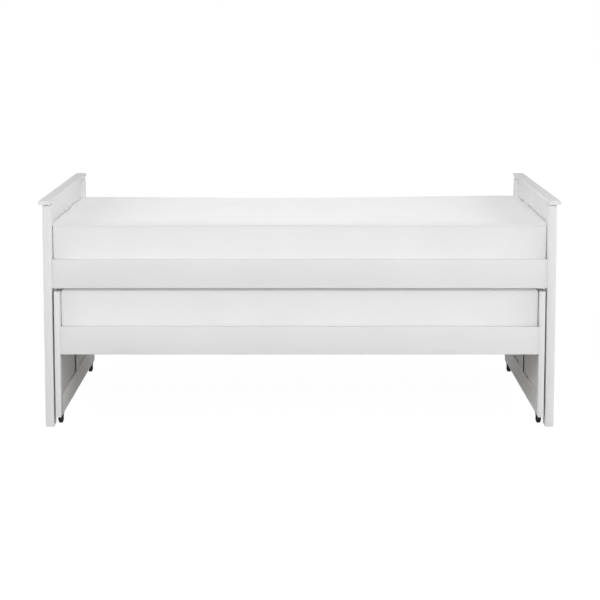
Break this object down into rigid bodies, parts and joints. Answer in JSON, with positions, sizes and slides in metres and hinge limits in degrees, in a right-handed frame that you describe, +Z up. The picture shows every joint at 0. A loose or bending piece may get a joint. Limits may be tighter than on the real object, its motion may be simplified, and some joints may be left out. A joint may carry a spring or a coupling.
{
  "type": "trundle bed",
  "caption": "Guest bed with slatted end boards and a full-height lower bed on casters that rolls out from under it; both beds have side rails, a slatted base and a mattress.",
  "frame": {"origin": "on the floor under the middle of the parked bed", "axes": "+X along the bed to its right end as seen from the front, +Y to the back, +Z up; the lower bed rolls out towards -Y"},
  "size_m": [2.036, 1.095, 0.901],
  "materials": {
    "painted_wood": "satin",
    "slat_wood": "matte",
    "mattress_fabric": "matte",
    "black_plastic": "satin",
    "black_steel": "satin",
    "axle_steel": "satin"
  },
  "bodies": {
    "upper_bed": {"left_bottom_rail": "painted_wood", "left_cap_rail": "painted_wood", "left_front_post": "painted_wood", "left_rear_post": "painted_wood", "left_slat_1": "painted_wood", "left_slat_2": "painted_wood", "left_slat_3": "painted_wood", "left_slat_4": "painted_wood", "left_slat_5": "painted_wood", "left_slat_6": "painted_wood", "left_slat_7": "painted_wood", "left_top_rail": "painted_wood", "right_bottom_rail": "painted_wood", "right_cap_rail": "painted_wood", "right_front_post": "painted_wood", "right_rear_post": "painted_wood", "right_slat_1": "painted_wood", "right_slat_2": "painted_wood", "right_slat_3": "painted_wood", "right_slat_4": "painted_wood", "right_slat_5": "painted_wood", "right_slat_6": "painted_wood", "right_slat_7": "painted_wood", "right_top_rail": "painted_wood", "upper_front_cleat": "painted_wood", "upper_front_side_rail": "painted_wood", "upper_mattress": "mattress_fabric", "upper_rear_cleat": "painted_wood", "upper_rear_side_rail": "painted_wood", "upper_slat_base": "slat_wood"},
    "lower_bed": {"caster_left_front_axle": "axle_steel", "caster_left_front_fork": "black_steel", "caster_left_rear_axle": "axle_steel", "caster_left_rear_fork": "black_steel", "caster_right_front_axle": "axle_steel", "caster_right_front_fork": "black_steel", "caster_right_rear_axle": "axle_steel", "caster_right_rear_fork": "black_steel", "lower_front_cleat": "painted_wood", "lower_front_side_rail": "painted_wood", "lower_left_bottom_rail": "painted_wood", "lower_left_centre_stile": "painted_wood", "lower_left_front_leg": "painted_wood", "lower_left_panel": "painted_wood", "lower_left_rear_leg": "painted_wood", "lower_left_top_rail": "painted_wood", "lower_mattress": "mattress_fabric", "lower_rear_cleat": "painted_wood", "lower_rear_side_rail": "painted_wood", "lower_right_bottom_rail": "painted_wood", "lower_right_centre_stile": "painted_wood", "lower_right_front_leg": "painted_wood", "lower_right_panel": "painted_wood", "lower_right_rear_leg": "painted_wood", "lower_right_top_rail": "painted_wood", "lower_slat_base": "slat_wood"},
    "left_front_wheel": {"caster_left_front_wheel": "black_plastic"},
    "left_rear_wheel": {"caster_left_rear_wheel": "black_plastic"},
    "right_front_wheel": {"caster_right_front_wheel": "black_plastic"},
    "right_rear_wheel": {"caster_right_rear_wheel": "black_plastic"}
  },
  "joints": [
    {"name": "lower_bed_slide", "type": "slide", "parent": "upper_bed", "child": "lower_bed", "axis": [0, -1, 0], "range_m": [0, 1.1]},
    {"name": "left_front_wheel_spin", "type": "hinge", "parent": "lower_bed", "child": "left_front_wheel", "pos_m": [-0.953, -0.4635, 0.015], "axis": [1, 0, 0], "continuous": true},
    {"name": "left_rear_wheel_spin", "type": "hinge", "parent": "lower_bed", "child": "left_rear_wheel", "pos_m": [-0.953, 0.4635, 0.015], "axis": [1, 0, 0], "continuous": true},
    {"name": "right_front_wheel_spin", "type": "hinge", "parent": "lower_bed", "child": "right_front_wheel", "pos_m": [0.953, -0.4635, 0.015], "axis": [1, 0, 0], "continuous": true},
    {"name": "right_rear_wheel_spin", "type": "hinge", "parent": "lower_bed", "child": "right_rear_wheel", "pos_m": [0.953, 0.4635, 0.015], "axis": [1, 0, 0], "continuous": true}
  ],
  "couplings": [
    {"joint": "left_front_wheel_spin", "follows": "lower_bed_slide", "rad_per_m": 66.667},
    {"joint": "left_rear_wheel_spin", "follows": "lower_bed_slide", "rad_per_m": 66.667},
    {"joint": "right_front_wheel_spin", "follows": "lower_bed_slide", "rad_per_m": 66.667},
    {"joint": "right_rear_wheel_spin", "follows": "lower_bed_slide", "rad_per_m": 66.667}
  ]
}
